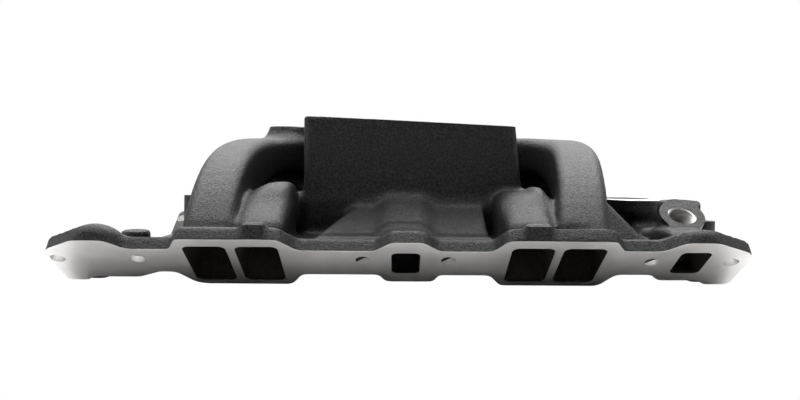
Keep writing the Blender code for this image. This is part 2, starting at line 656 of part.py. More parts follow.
def build_bosses():
    # The heater outlet stands on the coolant leg, its mouth facing outwards and up.
    mouth, aim = HEATER_MOUTH, HEATER_AIM
    boss = cylinder_mesh("heater_outlet_boss", mouth - aim * 6 * MM, aim, 16.5 * MM, 12 * MM, 32)
    boss = add_part("heater_outlet_boss", boss)
    block = box_mesh("heater_boss_block", (193.5 * MM, -100 * MM, 38 * MM), (219.5 * MM, -76 * MM, 63.5 * MM))
    join_to(boss, [block])
    subtract(boss, [solid_loft("coolant_leg", water_rings(WATER_WALL + GAP)),
                    cylinder_mesh("heater_thread", mouth - aim * 5 * MM, aim, 10.3 * MM, 36 * MM, 32)])

    x, y = VACUUM_BOSS
    low, high = VACUUM_BOSS_Z
    vacuum = cylinder_mesh("vacuum_boss", (x, y, (low + high) / 2), UP, 22 * MM, high - low, 16, 13 * MM)
    vacuum = add_part("vacuum_boss", vacuum)
    subtract(vacuum, [cylinder_mesh("vacuum_thread", (x, y, high), UP, 7 * MM, 30 * MM, 24)])

    floor_top = FLOOR_Z + FLOOR_THICKNESS + GAP
    posts = {
        "rear_bracket_boss_right": (-221, -60, 11.3, floor_top, 35.5),
        "rear_bracket_boss_left": (-219, 96, 10, floor_top, 58),
        "front_bracket_boss": (238.9, -63, 11, RAIL_TOP_Z + GAP, 46),
    }
    for name, (x, y, radius, low, high) in posts.items():
        x, y, radius, high = x * MM, y * MM, radius * MM, high * MM
        post = add_part(name, cylinder_mesh(name, (x, y, (low + high) / 2), UP, radius, high - low))
        subtract(post, [cylinder_mesh("post_thread", (x, y, high), UP, 4 * MM, 20 * MM, 16)])


head_flange("head_flange_right", -1)
head_flange("head_flange_left", 1)
build_runners()
build_plenum()
build_pad()
build_heat_crossover()
build_water_crossover()
build_rails()
build_rear_floor()
build_front_floor()
build_front_gusset()
build_tents()
build_bosses()
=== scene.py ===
"""Dual-plane intake manifold: the finished casting, with its textured coat and machined faces.

The casting is modelled as a field of distances: each region is a rounded shape, blended into its
neighbours with the fillet that a sand casting has there. Machining comes after, as on the real part:
flat faces, ports, bores and holes are cut crisply out of the meshed casting.
Sizes are millimetres in the CAD model's frame, and MM turns them into metres at the end.
+X is the front of the engine, +Y the left bank, +Z up.
"""

import math
from collections import namedtuple

import bmesh
import bpy
import numpy as np
import openvdb
from mathutils import Matrix, Vector


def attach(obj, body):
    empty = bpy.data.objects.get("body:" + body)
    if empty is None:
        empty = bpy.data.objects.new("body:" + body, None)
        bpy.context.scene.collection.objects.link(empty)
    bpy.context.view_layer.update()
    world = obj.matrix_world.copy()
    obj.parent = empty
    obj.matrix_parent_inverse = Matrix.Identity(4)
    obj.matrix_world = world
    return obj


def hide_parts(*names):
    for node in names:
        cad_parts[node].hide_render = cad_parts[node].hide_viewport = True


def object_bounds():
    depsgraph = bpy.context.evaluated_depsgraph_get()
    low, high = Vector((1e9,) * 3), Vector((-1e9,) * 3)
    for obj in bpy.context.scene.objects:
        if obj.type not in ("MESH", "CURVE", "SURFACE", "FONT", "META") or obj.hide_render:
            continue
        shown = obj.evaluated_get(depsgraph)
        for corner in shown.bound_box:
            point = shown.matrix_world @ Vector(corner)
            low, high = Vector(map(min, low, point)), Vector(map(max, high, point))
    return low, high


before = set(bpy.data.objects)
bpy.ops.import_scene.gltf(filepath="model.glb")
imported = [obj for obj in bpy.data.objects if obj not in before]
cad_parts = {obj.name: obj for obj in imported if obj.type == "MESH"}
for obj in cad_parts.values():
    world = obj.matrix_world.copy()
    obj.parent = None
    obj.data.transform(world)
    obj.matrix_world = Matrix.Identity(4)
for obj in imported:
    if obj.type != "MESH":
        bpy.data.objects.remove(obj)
cad_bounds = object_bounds()

MM = 0.001
PITCH = 2.0  # spacing of the field's samples
FAR = 60.0  # the field's value away from every shape
COAT_SETBACK = 0.15  # the coat ends this far short of each machined face
CUTTER_GRID = 6.0  # spacing of the faces on a slab cutter
COAT, METAL, RAW = range(3)  # material slots

# Head flanges, as planes that rise outwards from the valley.
BANK_SLOPE = math.radians(35)
SLOPE_COS, SLOPE_SIN = math.cos(BANK_SLOPE), math.sin(BANK_SLOPE)
HOLE_LINE_Y, HOLE_LINE_Z = 142.2, 22.48
FLANGE_THICKNESS = 10.7
BOLT_X = (-244.6, -189.6, -33.5, 25.9, 167.3, 222.3)
BOLT_RADIUS = 5.1
PORT_PAIR_X = (-122.9, 100.6)
PORT_WIDTH, PORT_HEIGHT, PORT_WEB = 29.5, 50.0, 5.9
PORT_S = -7.0
HEAT_PORT_X, HEAT_PORT_S = -3.8, -5.7
WATER_PORT_X, WATER_PORT_S = 194.6, -1.9

# Flange outline: place along the crank, place up the slope, corner radius.
FLANGE_TOP = [
    (-249.9, 10, 3), (-246, 14, 4), (-227, 24.8, 12), (-205.5, 24.8, 12), (-194, 13.7, 10),
    (-164.5, 13.7, 3), (-157.5, 27.6, 5), (-90, 27.6, 8), (-77.5, 12.8, 8), (-25.5, 12.8, 6),
    (-13.5, 24.6, 6), (8, 24.6, 7), (19.5, 12.8, 8), (55.5, 12.8, 6), (65, 28.2, 8),
    (136, 28.2, 6), (144.5, 14.7, 4), (170.5, 14.7, 10), (183, 26.4, 10), (204.5, 26.4, 12),
    (229, 14.3, 4), (233.9, 9, 3),
]
FLANGE_BOTTOM = [
    (233.9, -30, 3), (231, -34.4, 2), (216, -34.4, 3), (208, -28.2, 3), (180.5, -28.2, 5),
    (173, -19.6, 5), (147, -19.6, 7), (138.5, -39.2, 9), (66.5, -39.2, 6), (57, -22.4, 7),
    (20.6, -22.4, 4), (16.5, -33, 5), (-17.8, -33, 5), (-23, -22.2, 5), (-78, -22.2, 7),
    (-87, -39, 9), (-156, -38.2, 13), (-167.5, -19.2, 8), (-180, -19.2, 6), (-196.5, -27.8, 4),
    (-229.5, -27.8, 3), (-235, -33, 2), (-247.5, -33, 2), (-249.9, -31, 2),
]

# Plenum, pad and the two planes of runners.
PLENUM_HALF_X, PLENUM_HALF_Y = 83.5, 77.5
PLENUM_FLOOR_Z = 34.0
PAD_TOP_Z, PAD_FALL = 123.6, 0.0452
THROTTLE_BORE = 22.2
BORE_CENTRES, STUD_CENTRES = (36, 26), (71.4, 65.5)
UPPER_PLANE_Z = (97, 97.5)
LOWER_PLANE_Z = 52
UPPER_OUTER_Y, LOWER_OUTER_Y, UPPER_INNER_X = 21, 55, 62
LOWER_PLENUM_X = (-124, 101)

# Coolant crossover, thermostat pad and heater outlet.
WATER_TUBE_Z = (14, 40)
THERMOSTAT_X, THERMOSTAT_RADIUS, THERMOSTAT_EAR_Y, THERMOSTAT_EAR_RADIUS = 191, 31, 43, 12
THERMOSTAT_TOP_Z = 61.5
HEATER_MOUTH = Vector((201, -109, 53.5))
HEATER_AIM = Vector((0, -0.6, 0.8))
HEATER_BORE = 10.3

# Ends of the casting.
RAIL_UNDERSIDE_Z, RAIL_TOP_Z = 2.9, 13.6
REAR_RAIL_X, FRONT_RAIL_X = (-249.4, -228), (210.5, 233.4)
DISTRIBUTOR_X, DISTRIBUTOR_TOP_Z = -200, 21.4
VACUUM_BOSS = Vector((-113, 17, 123.5))


# --- the field ----------------------------------------------------------------------------------

Shape = namedtuple("Shape", "distance low high")


class Field:
    """Distances to the casting's skin on a regular lattice, negative inside."""

    def __init__(self, low, high):
        counts = [int((b - a) / PITCH) + 1 for a, b in zip(low, high)]
        self.axes = [a + PITCH * np.arange(n, dtype=np.float32) for a, n in zip(low, counts)]
        self.values = np.full(counts, FAR, dtype=np.float32)

    def window(self, shape, margin):
        """The part of the lattice round a shape, and its coordinates along each axis."""
        where = []
        for axis, low, high in zip(self.axes, shape.low, shape.high):
            first, last = np.searchsorted(axis, (low - margin, high + margin))
            where.append(slice(int(first), int(last)))
        x, y, z = (axis[part] for axis, part in zip(self.axes, where))
        return tuple(where), x[:, None, None], y[None, :, None], z[None, None, :]

    def add(self, shape, fillet=6.0):
        """Joins a shape on, with a fillet about that large where it meets what is there."""
        where, x, y, z = self.window(shape, fillet + 3 * PITCH)
        new, old = shape.distance(x, y, z), self.values[where]
        near = np.maximum(fillet - np.abs(new - old), 0) / fillet
        self.values[where] = np.minimum(new, old) - near * near * fillet / 4

    def cut(self, shape, fillet=2.0):
        """Takes a shape away, with its rim rounded about that much."""
        where, x, y, z = self.window(shape, fillet + 3 * PITCH)
        new, old = -shape.distance(x, y, z), self.values[where]
        near = np.maximum(fillet - np.abs(new - old), 0) / fillet
        self.values[where] = np.maximum(new, old) + near * near * fillet / 4

    def clip(self, low, high):
        """Keeps everything between two corners."""
        for k, axis in enumerate(self.axes):
            past = np.maximum(low[k] - axis, axis - high[k])
            shape = [1, 1, 1]
            shape[k] = -1
            self.values = np.maximum(self.values, past.reshape(shape))

    def mesh(self, name):
        grid = openvdb.FloatGrid(3 * PITCH)
        grid.copyFromArray(np.clip(self.values, -3 * PITCH, 3 * PITCH))
        points, quads = grid.convertToQuads(isovalue=0)
        points = points * PITCH + np.array([axis[0] for axis in self.axes])
        mesh = bpy.data.meshes.new(name)
        mesh.from_pydata(points * MM, [], quads[:, ::-1])
        mesh.update()
        return mesh


def length(*parts):
    return np.sqrt(sum(np.maximum(part, 0) ** 2 for part in parts))


def rounded(parts, radius):
    """Distance to where every part is negative, with that radius on its edges."""
    parts = [part + radius for part in parts]
    inside = parts[0]
    for part in parts[1:]:
        inside = np.maximum(inside, part)
    return np.minimum(inside, 0) + length(*parts) - radius


def block(low, high, radius=3.0):
    centre = [(a + b) / 2 for a, b in zip(low, high)]
    half = [(b - a) / 2 for a, b in zip(low, high)]

    def distance(*place):
        return rounded([np.abs(p - c) - h for p, c, h in zip(place, centre, half)], radius)

    return Shape(distance, low, high)


def rod(start, end, radius, end_radius=None, round_by=2.0):
    """A round post from start to end, tapered if end_radius is given."""
    start, end = Vector(start), Vector(end)
    axis = (end - start).normalized()
    run = (end - start).length
    end_radius = radius if end_radius is None else end_radius

    def distance(x, y, z):
        away = (x - start.x, y - start.y, z - start.z)
        along = sum(a * k for a, k in zip(away, axis))
        across = np.sqrt(np.maximum(sum(a * a for a in away) - along * along, 0))
        local = radius + (end_radius - radius) * np.clip(along / run, 0, 1)
        return rounded([across - local, np.abs(along - run / 2) - run / 2], round_by)

    reach = max(radius, end_radius)
    low = [min(a, b) - reach for a, b in zip(start, end)]
    high = [max(a, b) + reach for a, b in zip(start, end)]
    return Shape(distance, low, high)


def fillet_corners(corners, steps=6):
    """An outline whose corners are (x, y, radius), as points with each corner on an arc."""
    points = []
    for k, (x, y, radius) in enumerate(corners):
        here = Vector((x, y))
        before = Vector(corners[k - 1][:2]) - here
        after = Vector(corners[(k + 1) % len(corners)][:2]) - here
        half = before.angle(after) / 2
        if radius == 0 or half > math.radians(89):
            points.append(here)
            continue
        back = min(radius / math.tan(half), 0.48 * before.length, 0.48 * after.length)
        first, last = here + before.normalized() * back, here + after.normalized() * back
        middle = here + (before.normalized() + after.normalized()).normalized() * (back / math.cos(half))
        start, turn = first - middle, (first - middle).angle_signed(last - middle)
        for step in range(steps + 1):
            angle = -turn * step / steps
            points.append(middle + Matrix.Rotation(angle, 2) @ start)
    return points


def outline_distance(points, a, b):
    """Distance in a plane from the lattice a by b to a closed outline, negative inside."""
    a, b = a[:, None], b[None, :]
    nearest = np.full((a.size, b.size), FAR * FAR, dtype=np.float32)
    inside = np.zeros((a.size, b.size), dtype=bool)
    for p, q in zip(points, points[1:] + points[:1]):
        edge_a, edge_b = q.x - p.x, q.y - p.y
        along = ((a - p.x) * edge_a + (b - p.y) * edge_b) / max(edge_a ** 2 + edge_b ** 2, 1e-9)
        along = np.clip(along, 0, 1)
        away = (a - p.x - along * edge_a) ** 2 + (b - p.y - along * edge_b) ** 2
        nearest = np.minimum(nearest, away)
        if p.y != q.y:
            crosses = (p.y > b) != (q.y > b)
            inside ^= crosses & (a < p.x + (b - p.y) * edge_a / edge_b)
    return np.where(inside, -1, 1) * np.sqrt(nearest)


def flange_slab(side, surplus=4.0):
    """A head flange as cast, with surplus metal where its face is machined later."""
    points = fillet_corners(FLANGE_TOP + FLANGE_BOTTOM)
    s_axis = np.arange(-60, 60, 0.75, dtype=np.float32)

    def distance(x, y, z):
        out, up = side * y - HOLE_LINE_Y, z - HOLE_LINE_Z
        s = out * SLOPE_COS + up * SLOPE_SIN
        depth = up * SLOPE_COS - out * SLOPE_SIN
        table = outline_distance(points, x.ravel(), s_axis)
        row = np.clip((s[0] - s_axis[0]) / 0.75, 0, s_axis.size - 1.001)
        below = row.astype(int)
        part = row - below
        outline = table[:, below] * (1 - part) + table[:, below + 1] * part
        thick = np.abs(depth - (FLANGE_THICKNESS - surplus) / 2) - (FLANGE_THICKNESS + surplus) / 2
        return rounded([outline, thick], 2.2)

    reach = sorted((side * (HOLE_LINE_Y - 42), side * (HOLE_LINE_Y + 30)))
    return Shape(distance, (-252, reach[0], -6), (236, reach[1], 56))


def prism(corners, low, high, round_by=2.0):
    """An upright prism on an outline."""
    points = fillet_corners(corners)
    xs, ys = [p.x for p in points], [p.y for p in points]

    def distance(x, y, z):
        flat = outline_distance(points, x.ravel(), y.ravel())[:, :, None]
        return rounded([flat, np.abs(z - (low + high) / 2) - (high - low) / 2], round_by)

    return Shape(distance, (min(xs), min(ys), low), (max(xs), max(ys), high))


# --- swept passages -----------------------------------------------------------------------------

Station = namedtuple("Station", "centre across up width height")


def bank_point(side, x, s, depth=0.0):
    """A point of a head flange: s up its slope, depth into the metal. side is -1 right, +1 left."""
    y = HOLE_LINE_Y + s * SLOPE_COS - depth * SLOPE_SIN
    z = HOLE_LINE_Z + s * SLOPE_SIN + depth * SLOPE_COS
    return Vector((x, side * y, z))


def bank_inward(side):
    return Vector((0, -side * SLOPE_SIN, SLOPE_COS))


def sweep_stations(path, sizes, bulge=0.0, drift=0.0, steps=28):
    """Sections along a cubic curve, from (width, height) to (width, height).
    They swing out midway by bulge, and stay out by drift once clear of the flange."""
    a, b, c, d = path
    stations = []
    for k in range(steps):
        t = k / (steps - 1)
        u = 1 - t
        centre = a * u ** 3 + b * 3 * u * u * t + c * 3 * u * t * t + d * t ** 3
        centre.x += math.copysign(bulge * math.sin(math.pi * t) ** 2 + drift * min(1, 6 * t), a.x)
        heading = ((b - a) * u * u + (c - b) * 2 * u * t + (d - c) * t * t).normalized()
        across = heading.cross(Vector((0, 0, 1))).normalized()
        ease = min(1, 1.5 * t)
        width, height = (first + (last - first) * ease for first, last in zip(*sizes))
        stations.append(Station(centre, across, across.cross(heading).normalized(), width, height))
    return stations


def swept(stations, wall, radius):
    """The outside of a passage whose wall is that thick."""
    centres = np.array([s.centre for s in stations], dtype=np.float32)
    across = np.array([s.across for s in stations], dtype=np.float32)
    up = np.array([s.up for s in stations], dtype=np.float32)
    half = np.array([(s.width / 2 + wall[0], s.height / 2 + wall[1]) for s in stations], dtype=np.float32)
    last = len(stations) - 1

    def distance(x, y, z):
        place = np.stack(np.broadcast_arrays(x, y, z), axis=-1)
        nearest = np.full(place.shape[:3], 1e9, dtype=np.float32)
        index = np.zeros(place.shape[:3], dtype=int)
        for k, centre in enumerate(centres):
            away = ((place - centre) ** 2).sum(axis=-1)
            closer = away < nearest
            nearest[closer] = away[closer]
            index[closer] = k
        before = np.clip(index - 1, 0, last - 2)
        chord = centres[before + 2] - centres[before]
        along = ((place - centres[before]) * chord).sum(-1) / (chord ** 2).sum(-1) * 2
        at = before + np.clip(along, 0, 2)
        low = np.clip(at.astype(int), 0, last - 1)
        part = (at - low)[..., None]

        def blend(values):
            return values[low] * (1 - part) + values[low + 1] * part

        offset = place - blend(centres)
        sides = np.abs((offset * blend(across)).sum(-1)), np.abs((offset * blend(up)).sum(-1))
        size = blend(half)
        chord_length = np.sqrt((chord ** 2).sum(-1)) / 2
        past = np.maximum(-along - before, before + along - last) * chord_length
        return rounded([sides[0] - size[..., 0], sides[1] - size[..., 1], past + radius], radius)

    reach = half.max()
    return Shape(distance, centres.min(axis=0) - reach, centres.max(axis=0) + reach)


def port_x(end, inner_port):
    """Centre of a port: end is 0 rear or 1 front, inner_port the one nearer the middle."""
    shift = (PORT_WIDTH + PORT_WEB) / 2
    toward_middle = 1 if end == 0 else -1
    return PORT_PAIR_X[end] + (shift if inner_port else -shift) * toward_middle


def runner_paths():
    """The stations of each runner, from its port to where it opens into the plenum."""
    paths = {}
    port, opening = (PORT_WIDTH, PORT_HEIGHT), (PORT_WIDTH, 26)
    for end, toward in enumerate((1, -1)):
        away = -toward
        upper_z = UPPER_PLANE_Z[end]
        plans = {
            (8, 2)[end]: (-1, False, Vector((away * 78, UPPER_OUTER_Y, upper_z)), (toward, 0), 100, 62,
                          (4, 8)[end]),
            (5, 3)[end]: (1, True, Vector((away * UPPER_INNER_X, 72, upper_z)), (0, -1), 50, 26, 0),
            (6, 4)[end]: (-1, True, Vector((port_x(end, True), -72, LOWER_PLANE_Z)), (0, 1), 20, 22, 0),
            (7, 1)[end]: (1, False, Vector((LOWER_PLENUM_X[end] + toward * 5, LOWER_OUTER_Y, LOWER_PLANE_Z)),
                          (toward, 0), 26, 38, 10),
        }
        for number, (side, inner, finish, heading, rise, run, bulge) in plans.items():
            start = bank_point(side, port_x(end, inner), PORT_S, 2)
            heading = Vector((*heading, 0))
            path = (start, start + bank_inward(side) * rise, finish - heading * run, finish)
            stations = sweep_stations(path, (port, opening), bulge, 4 if number == 2 else 0)
            if heading.x == 0:  # a runner that only shifts sideways keeps its sections square
                stations = [s._replace(across=Vector((1, 0, 0)), up=squared_up(s, heading)) for s in stations]
            paths[number] = stations
    return paths


def squared_up(station, heading):
    """The upward direction of a section whose width lies along X."""
    up = Vector((0, station.up.y, station.up.z))
    return up.normalized()


def water_stations(side):
    start = bank_point(side, WATER_PORT_X, WATER_PORT_S, 2)
    middle = sum(WATER_TUBE_Z) / 2
    finish = Vector((WATER_PORT_X, side * 70, middle))
    path = (start, start + bank_inward(side) * 14, finish + Vector((0, side * 22, 0)), finish)
    return sweep_stations(path, ((21, 30.7), (21, 19.6)), steps=16)


def heat_stations(side):
    start = bank_point(side, HEAT_PORT_X, HEAT_PORT_S, 2)
    finish = Vector((HEAT_PORT_X, side * 70, 20.1))
    path = (start, start + bank_inward(side) * 12, finish + Vector((0, side * 26, 0)), finish)
    return sweep_stations(path, ((20, 31), (20, 19.2)), steps=16)


# --- the casting --------------------------------------------------------------------------------

def pad_top(x):
    return PAD_TOP_Z - PAD_FALL * x


def plenum_shell():
    """The tall box under the carburettor, its front wall drafted, surplus metal left on its top."""
    def distance(x, y, z):
        front = x - 83.3 - 0.1 * np.clip(120 - z, 0, 55)
        sides = np.abs(y) - 75.2 - 0.022 * (PAD_TOP_Z - z)
        flat = rounded([np.maximum(front, -83.9 - x) + 0 * y, sides + 0 * x], 6)
        return rounded([flat, PLENUM_FLOOR_Z - z + 0 * x, z - pad_top(x) - 4 + 0 * y], 1.5)

    return Shape(distance, (-84, -78, PLENUM_FLOOR_Z), (90, 78, 132))


def valley_tent(side, low_x, high_x):
    """The sloping floor from a head flange up to the plenum wall, its ends falling away."""
    def distance(x, y, z):
        out = side * y
        rise = np.clip((118 - out) / 40, 0, 1)
        roof = 38.5 + 19 * rise
        top = (z - roof) * 0.87
        under = (roof - 6.5 - z) * 0.87
        ends = np.maximum(low_x + (z - 36) * 1.2 - x, x - high_x)
        return rounded([top + 0 * x, under + 0 * x, ends + 0 * y, out - 139 + 0 * x, 70 - out + 0 * x], 2.5)

    reach = sorted((side * 70, side * 139))
    return Shape(distance, (low_x, reach[0], 26), (high_x, reach[1], 64))


def crossover_hump(side):
    """The roof of the heat passage, which stands out of the sloping floor."""
    def distance(x, y, z):
        out = side * y
        roof = 45.5 + 16 * np.clip((112 - out) / 30, 0, 1)
        return rounded([np.abs(x - HEAT_PORT_X) - 17 + 0 * (y + z), (z - roof) * 0.9 + 0 * x,
                        20 - z + 0 * (x + y), out - 124 + 0 * (x + z), 72 - out + 0 * (x + z)], 8)

    reach = sorted((side * 72, side * 124))
    return Shape(distance, (HEAT_PORT_X - 15, reach[0], 20), (HEAT_PORT_X + 15, reach[1], 62))


def upright_web(corners, low_y, high_y, lean, round_by=3.0):
    """A web on an outline in X and Z, its outer face leaning in towards the top."""
    points = fillet_corners(corners)
    xs, zs = [p.x for p in points], [p.y for p in points]

    def distance(x, y, z):
        flat = outline_distance(points, x.ravel(), z.ravel())[:, None, :]
        face = (low_y + lean * (z - min(zs)) - y) / math.hypot(1, lean)
        return rounded([flat + 0 * y, face + 0 * x, y - high_y + 0 * (x + z)], round_by)

    return Shape(distance, (min(xs), low_y, min(zs)), (max(xs), high_y, max(zs)))


def thermostat_outline():
    x, radius, ear, ear_y = THERMOSTAT_X, THERMOSTAT_RADIUS, THERMOSTAT_EAR_RADIUS, THERMOSTAT_EAR_Y
    return [
        (x - ear, -ear_y - ear, ear), (x + ear, -ear_y - ear, ear),
        (x + radius, -18, 14), (x + radius, 18, 14),
        (x + ear, ear_y + ear, ear), (x - ear, ear_y + ear, ear),
        (x - radius, 18, 14), (x - radius, -18, 14),
    ]


def add_ends(field):
    for low_x, high_x in (REAR_RAIL_X, FRONT_RAIL_X):
        field.add(block((low_x, -104.5, RAIL_UNDERSIDE_Z - 3), (high_x, 104.5, RAIL_TOP_Z), 3), 5)
    field.add(block((-240, -110, 13), (-118, 110, 19.2), 2.5), 6)
    field.add(block((96, -108, 13), (222, 108, 19.2), 2.5), 6)
    for side in (-1, 1):
        out = sorted((side * 100, side * 121))
        for low_x, high_x in ((-230, -156), (138, 190)):
            field.add(block((low_x, out[0], 13), (high_x, out[1], 19.2), 2), 4)
    field.add(block((-122, 74, 13), (-84, 104, 19.2), 2), 4)
    field.add(block((76, 74, 13), (124, 106, 19.2), 2), 4)
    field.add(rod((DISTRIBUTOR_X, 0, 0), (DISTRIBUTOR_X, 0, 25), 27), 3)
    field.add(rod((-221, -60, 10), (-221, -60, 35.5), 11.3, round_by=3), 6)
    field.add(rod((-219, 96, 10), (-219, 96, 60), 10.5, 9.5), 6)
    field.add(rod((236.6, -63, 14), (236.6, -63, 48), 9), 6)
    field.add(block((222, -76, 14), (236, -50, 36), 4), 6)


def add_valley(field):
    field.add(block((LOWER_PLENUM_X[0], -75, 33.7), (LOWER_PLENUM_X[1], 77.5, 66.5), 8), 8)
    for side in (-1, 1):
        out = sorted((side * 72, side * (124 if side < 0 else 136)))
        field.add(block((-92, out[0], 28), (74, out[1], 34), 2.5), 4)
    field.add(valley_tent(-1, -68, 57), 5)
    field.add(valley_tent(1, -68, 51), 5)
    for side in (-1, 1):
        field.add(crossover_hump(side), 12)
        field.add(swept(heat_stations(side), (3.5, 3.5), 5), 5)
    field.add(block((HEAT_PORT_X - 13.5, -84, 7), (HEAT_PORT_X + 13.5, 84, 36), 5), 5)


def add_webs(field):
    """Walls that hang from the upper plane's end runners down to the lower plane."""
    field.add(block((-140, 8, 58), (-80, 34, 92), 5), 8)
    field.add(block((80, 8, 50), (141, 34, 92), 5), 8)


def add_runners(field, paths):
    for number in (7, 1, 5, 3, 6, 4, 8, 2):
        field.add(swept(paths[number], (2.65, 4), 8), 7)
    # The left port pairs leave the flange through a shared shoulder.
    for low_x, high_x in ((-154, -92), (70, 132)):
        field.add(block((low_x, 130, 32), (high_x, 150, 56), 6), 6)
    # The inner runners' roofs rise to meet the outer runners' flanks.
    field.add(upright_web([(-141, 36, 0), (-112, 75.5, 22), (-86.5, 75.5, 7), (-97, 36, 0)],
                          -136, -72, 0.85, 9), 9)
    field.add(upright_web([(66, 36, 0), (66, 67, 10), (87, 67, 12), (97, 75.5, 5), (110, 52, 10),
                           (119, 36, 0)], -136, -72, 0.85, 7), 9)


def add_front(field):
    for side in (-1, 1):
        field.add(swept(water_stations(side), (3.2, 3.2), 5), 6)
    field.add(block((WATER_PORT_X - 13.7, -84, 14), (WATER_PORT_X + 13.7, 84, 40), 6), 6)
    field.add(rod((THERMOSTAT_X, 0, 30), (THERMOSTAT_X, 0, 54), 22, 29), 8)
    field.add(prism(thermostat_outline(), 50, THERMOSTAT_TOP_Z + 3, 1.5), 5)
    for side in (-1, 1):
        y = side * THERMOSTAT_EAR_Y
        field.add(rod((THERMOSTAT_X, y, 34), (THERMOSTAT_X, y, 56), 8, 10), 6)
    field.add(upright_web([(120, 16, 0), (192, 16, 4), (180, 31, 8), (154.5, 60.5, 8), (134, 80, 4),
                           (120, 80, 0)], -114, -62, 0.7), 6)
    field.add(block((183, -54, 28), (216, -12, 56), 9), 8)
    mouth = HEATER_MOUTH + HEATER_AIM * 3
    field.add(block((193.5, -100, 18), (219.5, -76, 63.5), 2.5), 4)
    field.add(rod(HEATER_MOUTH - HEATER_AIM * 30, mouth, 14, 16.6, 1.5), 5)


def add_bosses(field):
    field.add(rod((VACUUM_BOSS.x, VACUUM_BOSS.y, 106), VACUUM_BOSS + Vector((0, 0, 2)), 20, 12.5, 1.8), 7)
    field.add(block((-113, 6, 100), (-80, 28, 123.6), 2), 5)
    for side in (-1, 1):
        for x in (-214, 196):
            top = bank_point(side, x, 11, 15.5 if x < 0 else 12)
            field.add(rod(bank_point(side, x, 11, 4), top, 17, 13, 4), 6)
    for x, half in ((-106, 8), (84.7, 9.3)):
        for side in (-1, 1):
            out = sorted((side * 152, side * 163.5))
            field.add(block((x - half, out[0], 36), (x + half, out[1], 49.8), 2.5), 3)


def cast_manifold(paths):
    low, high = (value / MM for value in (np.array(cad_bounds[0]), np.array(cad_bounds[1])))
    field = Field(low - 8, high + 8)
    add_ends(field)
    add_valley(field)
    add_webs(field)
    field.add(plenum_shell(), 7)
    add_runners(field, paths)
    add_front(field)
    for side in (-1, 1):
        field.add(flange_slab(side), 8)
    add_bosses(field)
    field.clip(low, high)
    return field.mesh("manifold_casting")


# --- cutters ------------------------------------------------------------------------------------

def loft_mesh(rings):
    """A closed body through matching rings of points, in millimetres."""
    bm = bmesh.new()
    made = [[bm.verts.new(Vector(p) * MM) for p in ring] for ring in rings]
    count = len(rings[0])
    for a, b in zip(made, made[1:]):
        for k in range(count):
            bm.faces.new((a[k], a[(k + 1) % count], b[(k + 1) % count], b[k]))
    for ring in (made[0], made[-1]):
        bm.faces.new(ring)
    bmesh.ops.recalc_face_normals(bm, faces=bm.faces)
    mesh = bpy.data.meshes.new("cutter")
    bm.to_mesh(mesh)
    bm.free()
    return mesh


def gridded(mesh, cuts):
    """Divides a cutter's flat faces, so that what they lay bare is made of small plain faces."""
    bm = bmesh.new()
    bm.from_mesh(mesh)
    bmesh.ops.subdivide_edges(bm, edges=bm.edges, cuts=cuts, use_grid_fill=True)
    bm.to_mesh(mesh)
    bm.free()
    return mesh


def ring_points(centre, across, up, width, height, radius, steps=6):
    w, h = width / 2, height / 2
    corners = fillet_corners([(-w, -h, radius), (w, -h, radius), (w, h, radius), (-w, h, radius)], steps)
    return [centre + across * p.x + up * p.y for p in corners]


def drum(start, end, radius, sides=48):
    """A round cutter between two points."""
    start, end = Vector(start), Vector(end)
    axis = (end - start).normalized()
    across = axis.orthogonal().normalized()
    up = axis.cross(across)
    turns = [2 * math.pi * k / sides for k in range(sides)]
    circle = [(across * math.cos(a) + up * math.sin(a)) * radius for a in turns]
    return loft_mesh([[start + p for p in circle], [end + p for p in circle]])


def slab_cutter(origin, normal, depth, low, size):
    """A slab whose face at origin looks along -normal, from low deep to depth past it."""
    normal = Vector(normal).normalized()
    across = (Vector((1, 0, 0)) - normal * normal.x).normalized()
    up = normal.cross(across)
    rings = []
    for along in (low, depth):
        centre = Vector(origin) + normal * along
        rings.append([centre + across * a * size + up * b * size
                      for a, b in ((-1, -1), (1, -1), (1, 1), (-1, 1))])
    return gridded(loft_mesh(rings), int(size / CUTTER_GRID))


def passage_cutter(stations, radius, lead=0.0):
    rings = [ring_points(s.centre, s.across, s.up, s.width, s.height, radius) for s in stations]
    if lead:
        back = (stations[0].centre - stations[1].centre).normalized() * lead
        rings.insert(0, [p + back for p in rings[0]])
    return loft_mesh(rings)


def boolean(obj, mesh, operation, surface=COAT):
    """Applies one Boolean and drops the cutter. surface is the material slot of what it lays bare."""
    for material in SURFACES:
        mesh.materials.append(material)
    mesh.polygons.foreach_set("material_index", np.full(len(mesh.polygons), surface, dtype=np.int32))
    cutter = bpy.data.objects.new("cutter", mesh)
    bpy.context.collection.objects.link(cutter)
    step = obj.modifiers.new("machining", "BOOLEAN")
    step.operation = operation
    step.solver = "MANIFOLD"
    step.object = cutter
    depsgraph = bpy.context.evaluated_depsgraph_get()
    result = bpy.data.meshes.new_from_object(obj.evaluated_get(depsgraph))
    obj.modifiers.clear()
    old = obj.data
    obj.data = result
    bpy.data.meshes.remove(old)
    bpy.data.objects.remove(cutter)
    bpy.data.meshes.remove(mesh)


def new_object(name, mesh):
    obj = bpy.data.objects.new(name, mesh)
    bpy.context.collection.objects.link(obj)
    return obj


